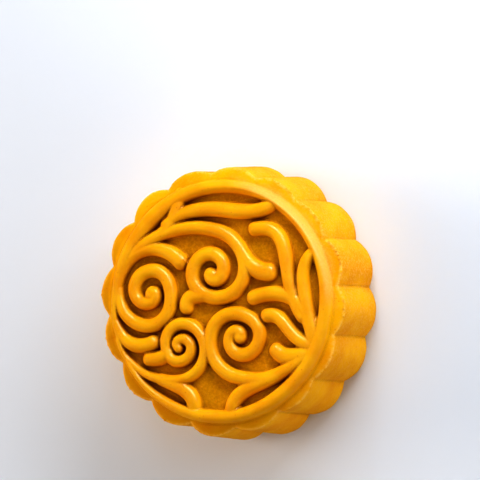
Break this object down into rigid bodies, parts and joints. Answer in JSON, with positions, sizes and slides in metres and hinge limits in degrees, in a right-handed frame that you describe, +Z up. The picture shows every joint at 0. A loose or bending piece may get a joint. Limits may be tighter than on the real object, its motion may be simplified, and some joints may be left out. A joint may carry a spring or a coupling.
{
  "type": "custard mooncake",
  "caption": "Round custard mooncake with a lobed wall and a pressed face: a raised rim round scrolls and leaves, baked golden, to rest flat on its base.",
  "frame": {"origin": "middle of the outline, on the flat underside the cake rests on", "axes": "+Z up through the cake towards its pressed face; +Y up the pattern as it is read; +X to the pattern's right"},
  "size_m": [0.0588, 0.061, 0.0238],
  "materials": {
    "baked_custard_crust": "satin baked pastry, smooth on the strands and finely grained on the floor between them"
  },
  "bodies": {
    "root": {"mooncake": "baked_custard_crust"}
  },
  "joints": []
}
